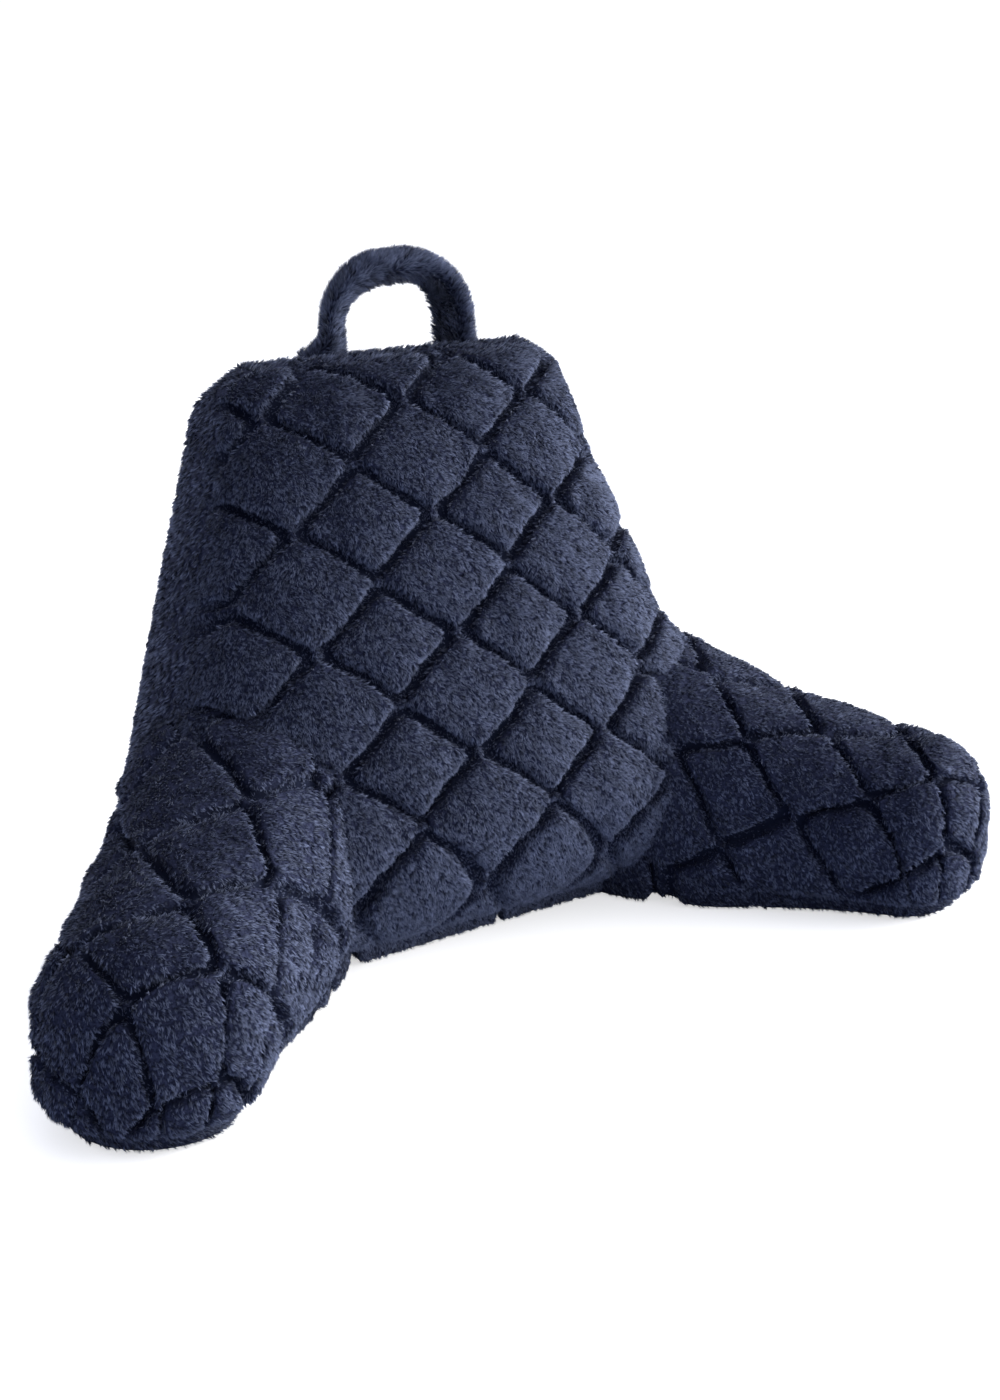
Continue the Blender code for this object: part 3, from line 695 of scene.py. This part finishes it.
# %% Strap's cloth
def strap_body(sides=32):
    path = strap_path()
    top = backrest_place(0.0, FACE_LENGTH, 0.0) + MIDDLE
    body = bmesh.new()
    rings = []
    for number, (across, up) in enumerate(path):
        before = path[max(number - 1, 0)]
        after = path[min(number + 1, len(path) - 1)]
        run = Vector((after[0] - before[0], 0, after[1] - before[1])).normalized()
        rightwards = (across / LOOP_HALF_SPAN + 1) / 2
        turned = STRAP_TWIST[0] + (STRAP_TWIST[1] - STRAP_TWIST[0]) * rightwards
        side = Vector((math.sin(math.radians(turned)), math.cos(math.radians(turned)), 0))
        out = run.cross(side).normalized()
        leg, crown, other_leg = STRAP_THICKNESS
        thickness = leg + (other_leg - leg) * held_share(rightwards)
        thickness += (crown - thickness) * held_share(up / LOOP_HEIGHT) ** 4
        flare = 0.0
        if across < 0:
            flare = FOOT_FLARE * max(0.0, 1 - max(up, 0.0) / FLARE_HEIGHT) ** 2
        lean = LOOP_LEAN * max(up, 0.0)
        up += LOOP_TILT * across * max(up, 0.0) / LOOP_HEIGHT
        middle = Vector((LOOP_ASIDE + across, top.y + LOOP_BACK + lean, top.z + up)) - MIDDLE
        made = bmesh.ops.create_circle(body, segments=sides, radius=1.0)
        for point in made["verts"]:
            turn = math.atan2(point.co.y, point.co.x)
            broad = math.copysign(abs(math.cos(turn)) ** STRAP_SQUARENESS, math.cos(turn)) * STRAP_WIDTH / 2
            thin = math.copysign(abs(math.sin(turn)) ** STRAP_SQUARENESS, math.sin(turn)) * thickness / 2
            thin += flare * (1 + thin / thickness * 2) / 2
            point.co = middle + side * broad + out * thin
        rings.append(made["verts"])
    for one, two in zip(rings, rings[1:]):
        edges = [edge for edge in body.edges
                 if all(end in one for end in edge.verts) or all(end in two for end in edge.verts)]
        bmesh.ops.bridge_loops(body, edges=edges)
    bmesh.ops.holes_fill(body, edges=[edge for edge in body.edges if edge.is_boundary], sides=0)
    return body


skins["handle"] = new_object("carrying_strap", strap_body())
print("carrying_strap", len(skins["handle"].data.polygons), "faces")

# %% [markdown]
# ## The pile
# The pile is thousands of fine tufts. One tuft is a few flat blades. Real hair would be lost in the exported
# model, so each blade is one triangle of a joined mesh, and all of them are placed by arrays with a seeded
# random generator, so that every run gives the same pile. A blade's UV map holds its shade across and its
# place from root to tip upwards, which is all that the material needs.

# %% Helpers for the pile
def unit(rows):
    return rows / np.maximum(np.linalg.norm(rows, axis=1, keepdims=True), 1e-9)


def skin_arrays(item):
    """Places, normals and triangles of a skin."""
    mesh = item.data
    mesh.calc_loop_triangles()
    corners = np.empty(len(mesh.loop_triangles) * 3, dtype=np.int64)
    mesh.loop_triangles.foreach_get("vertices", corners)
    normals = np.empty(len(mesh.vertices) * 3)
    mesh.vertices.foreach_get("normal", normals)
    return read_points(mesh), normals.reshape(-1, 3), corners.reshape(-1, 3)


NOISE_WAVES = 7
NOISE_RANGE = 3.2         # the waves' sum lies mostly within this


def soft_noise(places, scale, seed):
    """A smooth value from about -1 to 1 that drifts over the surface."""
    chance = np.random.default_rng(seed)
    value = np.zeros(len(places))
    for _ in range(NOISE_WAVES):
        way = chance.normal(size=3)
        way *= 2 * np.pi / scale / np.linalg.norm(way) * chance.uniform(0.6, 1.7)
        value += np.sin(places @ way + chance.uniform(0, 2 * np.pi))
    return value / NOISE_RANGE


# %% [markdown]
# ## Where the tufts stand
# Tufts are dealt out by area, so that large and small triangles of the skin bear the same pile. Fewer go to a
# channel, where the cloth is pinched.

# %% Deal out the tufts
THINNED = 0.55            # the share of the tufts that a channel lacks


def deal_out(item, tufts, keep, chance):
    """The tufts' roots, the normals there, their shares of the channel, and the area that bears them."""
    places, normals, triangles = skin_arrays(item)
    mesh = item.data
    channel = read_layer(mesh, "channel") if "channel" in mesh.attributes else np.zeros(len(places))
    if keep is not None:
        triangles = triangles[keep(places[triangles].mean(axis=1), unit(normals[triangles].mean(axis=1)))]
    a, b, c = (places[triangles[:, side]] for side in range(3))
    area = np.linalg.norm(np.cross(b - a, c - a), axis=1) / 2
    thick = 1 - THINNED * channel[triangles].mean(axis=1)
    share = np.cumsum(area * thick)
    chosen = triangles[np.searchsorted(share, chance.uniform(0, share[-1], tufts))]
    one, two = np.sqrt(chance.uniform(size=tufts)), chance.uniform(size=tufts)
    weights = np.stack([1 - one, one * (1 - two), one * two], axis=1)[:, :, None]
    root = (places[chosen] * weights).sum(axis=1)
    normal = unit((normals[chosen] * weights).sum(axis=1))
    in_channel = (channel[chosen] * weights[:, :, 0]).sum(axis=1)
    return root, normal, in_channel, area.sum()


# %% [markdown]
# ## How the tufts lie
# Slow noise turns and tilts whole patches together, as a hand does that has stroked the pile. Chance does the
# same for each tuft, so that no two lie quite alike.

# %% Lay the tufts
TURN_PATCH = 0.030        # metres from one patch to the next
TURN_SWING = 0.35         # how far patches turn, in radians
TURN_CHANCE = 0.28        # how far single tufts turn, in radians
TILT_PATCH = 0.012
TILT_SWING = 9            # degrees
TILT_CHANCE = 6           # degrees


def lay_tufts(root, normal, lean, brush, seed, chance):
    """The way along the pile, the way beside it, and the way in which each tuft points."""
    lie = brush(root, normal)
    lie = unit(lie - normal * (lie * normal).sum(axis=1, keepdims=True))
    beside = np.cross(normal, lie)
    turn = soft_noise(root, TURN_PATCH, seed + 1) * TURN_SWING + chance.normal(0, TURN_CHANCE, len(root))
    turn = turn[:, None]
    lie, beside = lie * np.cos(turn) + beside * np.sin(turn), beside * np.cos(turn) - lie * np.sin(turn)
    tilt = lean + TILT_SWING * soft_noise(root, TILT_PATCH, seed + 2)
    tilt = np.radians(tilt + chance.normal(0, TILT_CHANCE, len(root)))[:, None]
    return lie, beside, normal * np.cos(tilt) + lie * np.sin(tilt)


# %% [markdown]
# ## The blades of a tuft
# The blades of a tuft start a little apart, and their tips draw together, which reads as one lock. A blade
# that would face into the skin is turned over, and its normals lean towards the skin's own, so that the pile
# shades as one soft surface.

# %% Shape the blades
BLADES_A_TUFT = 4
TUFT_SPREAD = 0.0007      # how far a tuft's blades start from one another
TIPS_GATHER = 0.55        # how much of that spread the tips lose again
BLADE_STRAY = 0.10
BLADE_LENGTHS = (0.75, 1.1)
BLADE_WIDTHS = (0.7, 1.3)
BLADE_ROLL = 0.6          # radians
LOWEST_BLADE = 0.0003     # keeps the blades off the floor
NORMAL_OF_SKIN = 0.80
NORMAL_OF_BLADE = 0.55


def each(rows):
    """Repeat a tuft's row for each of its blades."""
    return np.repeat(rows, BLADES_A_TUFT, axis=0)


def shape_blades(root, normal, lie, beside, way, reach, width, chance):
    """The three corners and the soft normal of every blade."""
    count = len(root) * BLADES_A_TUFT
    offset = each(lie) * chance.normal(0, TUFT_SPREAD, (count, 1))
    offset = offset + each(beside) * chance.normal(0, TUFT_SPREAD, (count, 1))
    foot = each(root) + offset
    tip_way = unit(each(way) + chance.normal(0, BLADE_STRAY, (count, 3)))
    reach = each(reach) * chance.uniform(*BLADE_LENGTHS, count)
    tip = foot + tip_way * reach[:, None] - offset * TIPS_GATHER
    flat_side = unit(np.cross(tip_way, each(normal)))
    up_side = np.cross(flat_side, tip_way)
    roll = chance.normal(0, BLADE_ROLL, (count, 1))
    side = (flat_side * np.cos(roll) + up_side * np.sin(roll)) * (width / 2)
    side = side * chance.uniform(*BLADE_WIDTHS, (count, 1))
    corners = np.stack([foot - side, foot + side, tip], axis=1)
    facing = unit(np.cross(corners[:, 1] - corners[:, 0], corners[:, 2] - corners[:, 0]))
    inwards = (facing * each(normal)).sum(axis=1) < 0
    corners[inwards] = corners[inwards][:, [1, 0, 2]]
    facing[inwards] *= -1
    corners[:, :, 2] = np.maximum(corners[:, :, 2], LOWEST_BLADE)
    return corners, unit(each(normal) * NORMAL_OF_SKIN + facing * NORMAL_OF_BLADE)


# %% [markdown]
# ## One mesh for a whole pile
# Thousands of objects would be slow, so the blades of a pile become one mesh, filled from arrays. It keeps
# the soft normals as its own, and the UV map that the material reads.

# %% Join the blades
ROOT_ON_CHART = 0.02
TIP_ON_CHART = 0.98


def join_blades(name, corners, soft, across):
    count = len(corners)
    pile = bpy.data.meshes.new(name)
    pile.vertices.add(count * 3)
    pile.vertices.foreach_set("co", corners.astype(np.float32).ravel())
    pile.loops.add(count * 3)
    pile.loops.foreach_set("vertex_index", np.arange(count * 3, dtype=np.int32))
    pile.polygons.add(count)
    pile.polygons.foreach_set("loop_start", np.arange(0, count * 3, 3, dtype=np.int32))
    pile.update(calc_edges=True)
    pile.shade_smooth()
    upwards = np.tile([ROOT_ON_CHART, ROOT_ON_CHART, TIP_ON_CHART], count)
    chart = np.stack([np.repeat(across, 3), upwards], axis=1)
    pile.uv_layers.new(name="OFBake").data.foreach_set("uv", chart.astype(np.float32).ravel())
    pile.normals_split_custom_set_from_vertices(np.repeat(soft, 3, axis=0))
    return put_in_scene(name, pile)


# %% [markdown]
# ## Planting one pile
# The steps come together here. Whole patches are painted lighter or darker too, a painted sheen like that of
# plush that has been stroked and catches the light unevenly.

# %% Plant a pile
SHORTENED = 0.62          # the share of its length that a tuft in a channel lacks
TUFT_LENGTHS = (0.85, 1.12)
# the patches are painted sheen: lighter or darker tone where the pile would catch the light
SHEEN_PATCH = 0.010       # metres from one patch to the next
SHEEN_SWING = 0.16
SHADE_CHANCE = 0.15
BLADE_SHADE = 0.10


def plant_pile(name, item, blades, length, width, lean, brush, seed, keep=None):
    """Plant tufts on a skin. brush gives the way the pile lies, and keep picks the triangles that bear it."""
    chance = np.random.default_rng(seed)
    tufts = blades // BLADES_A_TUFT
    root, normal, in_channel, area = deal_out(item, tufts, keep, chance)
    lie, beside, way = lay_tufts(root, normal, lean, brush, seed, chance)
    reach = length * (1 - SHORTENED * in_channel) * chance.uniform(*TUFT_LENGTHS, tufts)
    # each patch gets its painted sheen, then each tuft its own random tone
    shade = 0.5 + SHEEN_SWING * soft_noise(root, SHEEN_PATCH, seed + 3)
    shade = shade + chance.normal(0, SHADE_CHANCE, tufts)
    corners, soft = shape_blades(root, normal, lie, beside, way, reach, width, chance)
    across = each(shade) + chance.normal(0, BLADE_SHADE, len(corners))
    print(name, len(corners), "blades on", round(float(area), 3), "square metres")
    return join_blades(name, corners, soft, np.clip(across, ROOT_ON_CHART, TIP_ON_CHART))


# %% [markdown]
# ## Which way the pile lies
# Gravity and a stroking hand lay the pile down, each piece in its own direction. The underside is plain cloth
# and bears none. The backrest's pile is three pieces, because one piece may hold only so many triangles.

# %% Brush directions
def brushed_down(root, normal):
    """The backrest's pile lies downwards and a little to the cushion's right."""
    return np.tile([0.35, -0.10, -1.0], (len(root), 1))


def brushed_along(arm):
    """The right arm's pile lies towards its tip and down, the left arm's down and to the cushion's middle."""
    lie = [0.45, -0.35, -0.80] if arm.side < 0 else [arm.forwards.x, arm.forwards.y, -0.9]

    def brush(root, normal):
        return np.tile(lie, (len(root), 1))
    return brush


def brushed_up(root, normal):
    """The strap's pile leans up and to the right."""
    return np.tile([0.6, -0.2, 0.6], (len(root), 1))


# %% Where the pile grows
FACES_FORWARDS = -0.25    # a normal's y below this belongs to the face
BARE_FOOT = 0.004         # no pile grows this close to the floor


def off_floor(middle, normal):
    return middle[:, 2] > BARE_FOOT


def on_face(middle, normal):
    return (normal[:, 1] < FACES_FORWARDS) & off_floor(middle, normal)


def on_face_left(middle, normal):
    return on_face(middle, normal) & (middle[:, 0] < 0)


def on_face_right(middle, normal):
    return on_face(middle, normal) & (middle[:, 0] >= 0)


def off_face(middle, normal):
    return (normal[:, 1] >= FACES_FORWARDS) & off_floor(middle, normal)


# %% Plant every pile
FACE_PILE = {"blades": 185000, "length": 0.0038, "width": 0.0008, "lean": 50, "brush": brushed_down}
BACK_PILE = {"blades": 140000, "length": 0.0050, "width": 0.0012, "lean": 52, "brush": brushed_down}
ARM_PILE = {"blades": 160000, "length": 0.0037, "width": 0.0009, "lean": 52}
STRAP_PILE = {"blades": 45000, "length": 0.0080, "width": 0.0009, "lean": 42, "brush": brushed_up}
piles = [
    (plant_pile("face_pile_left", skins["backrest"], seed=11, keep=on_face_left, **FACE_PILE), "backrest"),
    (plant_pile("face_pile_right", skins["backrest"], seed=12, keep=on_face_right, **FACE_PILE), "backrest"),
    (plant_pile("back_pile", skins["backrest"], seed=13, keep=off_face, **BACK_PILE), "backrest"),
]
for seed, row in zip((21, 22), ARMS):
    planted = plant_pile(row["name"] + "_pile", skins[row["name"]], seed=seed, keep=off_floor,
                         brush=brushed_along(Arm(**row)), **ARM_PILE)
    piles.append((planted, row["name"]))
piles.append((plant_pile("strap_pile", skins["handle"], seed=31, **STRAP_PILE), "handle"))

# %% [markdown]
# ## The pile's finish
# A blade is dark navy at its root, a painted shade deep in the pile, and paler and greyer at its tip, which
# is partly a painted sheen. Each one has its own shade, which gives the fine grain of plush, and whole
# patches are painted lighter or darker as a painted sheen. The UV map carries all of it, so no picture is
# needed. A weak sheen catches the light where the pile turns away, as on velvet.

# %% Pile's finish
# the root's colour is painted shade deep in the pile, and the tip's paler grey is partly a painted sheen
ROOT_SHADE_NAVY = (0.0035, 0.0060, 0.020, 1.0)
TIP_SHEEN_NAVY = (0.103, 0.121, 0.190, 1.0)


def new_material(name):
    """A named material with its node tree and its shader."""
    material = bpy.data.materials.new(name)
    material.use_nodes = True
    return material, material.node_tree, material.node_tree.nodes["Principled BSDF"]


def mix_colours(tree, share, first, second):
    """A colour from first to second, as far along as the share says. Each may be a colour or a socket."""
    mix = tree.nodes.new("ShaderNodeMix")
    mix.data_type = "RGBA"
    tree.links.new(share, mix.inputs[0])
    for socket, colour in ((mix.inputs[6], first), (mix.inputs[7], second)):
        if isinstance(colour, tuple):
            socket.default_value = colour
        else:
            tree.links.new(colour, socket)
    return mix.outputs[2]


def pile_material():
    material, tree, shader = new_material("navy_pile")
    shader.inputs["Roughness"].default_value = 0.85
    shader.inputs["Specular IOR Level"].default_value = 0.15
    shader.inputs["Sheen Weight"].default_value = 0.22
    shader.inputs["Sheen Roughness"].default_value = 0.40
    shader.inputs["Sheen Tint"].default_value = (0.55, 0.62, 0.85, 1.0)
    chart = tree.nodes.new("ShaderNodeUVMap")
    chart.uv_map = "OFBake"
    parts = tree.nodes.new("ShaderNodeSeparateXYZ")
    tree.links.new(chart.outputs["UV"], parts.inputs["Vector"])
    rise = tree.nodes.new("ShaderNodeMapRange")
    rise.interpolation_type = "SMOOTHSTEP"
    rise.inputs["From Max"].default_value = 0.9
    tree.links.new(parts.outputs["Y"], rise.inputs["Value"])
    # from painted shade at the root to a partly painted sheen at the tip
    shade_to_sheen = mix_colours(tree, rise.outputs["Result"], ROOT_SHADE_NAVY, TIP_SHEEN_NAVY)
    # X on the UV map holds each blade's own tone and the painted sheen of its patch
    shade = tree.nodes.new("ShaderNodeMapRange")
    shade.inputs["To Min"].default_value = 0.30
    shade.inputs["To Max"].default_value = 1.80
    tree.links.new(parts.outputs["X"], shade.inputs["Value"])
    tinted = tree.nodes.new("ShaderNodeVectorMath")
    tinted.operation = "SCALE"
    tree.links.new(shade_to_sheen, tinted.inputs[0])
    tree.links.new(shade.outputs["Result"], tinted.inputs["Scale"])
    tree.links.new(tinted.outputs["Vector"], shader.inputs["Base Color"])
    return material


navy_pile = pile_material()
print("made", navy_pile.name)


# %% [markdown]
# ## The ground's finish
# The cloth that the pile grows from is a dull dark blue with a fine grain, and painted shade makes it darker
# still in the channels. It shows only between the blades, so noise is enough for it.

# %% Ground's finish
# painted shade for the channels' floors
CHANNEL_SHADE_NAVY = (0.008, 0.011, 0.026, 1.0)


def ground_material():
    material, tree, shader = new_material("navy_ground")
    shader.inputs["Roughness"].default_value = 0.95
    shader.inputs["Specular IOR Level"].default_value = 0.10
    coordinates = tree.nodes.new("ShaderNodeTexCoord")
    grain = tree.nodes.new("ShaderNodeTexNoise")
    grain.inputs["Scale"].default_value = 700.0
    grain.inputs["Detail"].default_value = 3.0
    tree.links.new(coordinates.outputs["Object"], grain.inputs["Vector"])
    tint = tree.nodes.new("ShaderNodeValToRGB")
    tint.color_ramp.elements[0].position = 0.35
    tint.color_ramp.elements[0].color = (0.008, 0.010, 0.024, 1.0)
    tint.color_ramp.elements[1].position = 0.75
    tint.color_ramp.elements[1].color = (0.040, 0.047, 0.090, 1.0)
    tree.links.new(grain.outputs["Fac"], tint.inputs["Fac"])
    depth = tree.nodes.new("ShaderNodeAttribute")
    depth.attribute_name = "channel"
    # the channel's share darkens the ground with painted shade
    channel_shaded = mix_colours(tree, depth.outputs["Fac"], tint.outputs["Color"], CHANNEL_SHADE_NAVY)
    tree.links.new(channel_shaded, shader.inputs["Base Color"])
    return material


navy_ground = ground_material()
print("made", navy_ground.name)

# %% [markdown]
# ## Dressing the frame
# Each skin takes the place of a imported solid, and the piles only ride along.

# %% Dress the frame
for node, skin in skins.items():
    skin.data.materials.append(navy_ground)
    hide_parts(node)
    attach(skin, "root")
for planted, node in piles:
    planted.data.materials.append(navy_pile)
    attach(planted, "root")
print(len(skins), "skins and", len(piles), "piles ride on the frame")

# %% [markdown]
# ## The floor
# The photograph has a plain white ground. The floor is white with a little glow where the camera sees it. To
# the light that bounces it is a cool, middling grey, so the cushion isn't lit too much from below.

# %% Floor
FLOOR_FOR_LIGHT = (0.50, 0.55, 0.68, 1.0)
FLOOR_FOR_CAMERA = (0.93, 0.93, 0.93, 1.0)
FLOOR_GLOW = 0.6
FLOOR_REACH = 300.0
FLOOR_DROP = 0.0005       # keeps the floor clear of the cushion's underside
floor_body = bmesh.new()
bmesh.ops.create_grid(floor_body, x_segments=1, y_segments=1, size=FLOOR_REACH)
floor = new_object("floor", floor_body)
floor_paint, tree, shader = new_material("pale_floor")
shader.inputs["Roughness"].default_value = 1.0
shader.inputs["Specular IOR Level"].default_value = 0.0
seen = tree.nodes.new("ShaderNodeLightPath")
paint = mix_colours(tree, seen.outputs["Is Camera Ray"], FLOOR_FOR_LIGHT, FLOOR_FOR_CAMERA)
tree.links.new(paint, shader.inputs["Base Color"])
glow = tree.nodes.new("ShaderNodeMath")
glow.operation = "MULTIPLY"
glow.inputs[1].default_value = FLOOR_GLOW
tree.links.new(seen.outputs["Is Camera Ray"], glow.inputs[0])
shader.inputs["Emission Color"].default_value = (1.0, 1.0, 1.0, 1.0)
tree.links.new(glow.outputs["Value"], shader.inputs["Emission Strength"])
floor.data.materials.append(floor_paint)
floor.location.z = -FLOOR_DROP
print("floor reaches", FLOOR_REACH, "m each way")

# %% [markdown]
# ## The panels
# The light comes low and broad from the cushion's right. A large disk there gives soft edges to the shading,
# and a weak one behind catches the left edge.

# %% Panels
PANELS_AIM = Vector((0, 0, 0.2))


def soft_panel(name, place, size, power):
    light = bpy.data.lights.new(name, "AREA")
    light.shape = "DISK"
    light.size = size
    light.energy = power
    turn = (PANELS_AIM - Vector(place)).to_track_quat("-Z", "Y").to_matrix().to_4x4()
    put_in_scene(name, light).matrix_world = Matrix.Translation(Vector(place)) @ turn
    print(name, power, "watts")


soft_panel("right_panel", (2.3, -1.0, 0.6), 1.8, 90.0)
soft_panel("left_rim_panel", (-2.0, 1.8, 0.6), 1.5, 28.0)

# %% [markdown]
# ## The surround
# The surround lights the cushion too: its bright side is on the right, and the far side is only a cool fill.
# A smooth change between them has no edge that could show in the pile. The camera sees plain white.

# %% Surround
LIGHT_FROM = Vector((0.98, -0.12, -0.05)).normalized()
COOL_SIDE = (0.05, 0.08, 0.20, 1.0)
BRIGHT_SIDE = (3.0, 3.0, 3.0, 1.0)
BRIGHT_NARROW = 2.0       # a higher number makes the bright side narrower
BACKDROP_GLOW = 1.30      # past 1, so the ground is pure white
world = bpy.data.worlds.new("surround")
scene.world = world
world.use_nodes = True
tree = world.node_tree
background = tree.nodes["Background"]
background.inputs["Strength"].default_value = 1.0
way = tree.nodes.new("ShaderNodeTexCoord")
side = tree.nodes.new("ShaderNodeVectorMath")
side.operation = "DOT_PRODUCT"
side.inputs[1].default_value = LIGHT_FROM
tree.links.new(way.outputs["Generated"], side.inputs[0])
share = tree.nodes.new("ShaderNodeMapRange")
share.inputs["From Min"].default_value = -1.0
tree.links.new(side.outputs["Value"], share.inputs["Value"])
steep = tree.nodes.new("ShaderNodeMath")
steep.operation = "POWER"
steep.inputs[1].default_value = BRIGHT_NARROW
tree.links.new(share.outputs["Result"], steep.inputs[0])
tone = mix_colours(tree, steep.outputs["Value"], COOL_SIDE, BRIGHT_SIDE)
tree.links.new(tone, background.inputs["Color"])
backdrop = tree.nodes.new("ShaderNodeBackground")
backdrop.inputs["Strength"].default_value = BACKDROP_GLOW
seen = tree.nodes.new("ShaderNodeLightPath")
either = tree.nodes.new("ShaderNodeMixShader")
tree.links.new(seen.outputs["Is Camera Ray"], either.inputs["Fac"])
tree.links.new(background.outputs["Background"], either.inputs[1])
tree.links.new(backdrop.outputs["Background"], either.inputs[2])
tree.links.new(either.outputs["Shader"], tree.nodes["World Output"].inputs["Surface"])
scene.view_settings.view_transform = "Standard"
scene.view_settings.look = "None"
print("bright side", BRIGHT_SIDE[:3], "cool side", COOL_SIDE[:3])
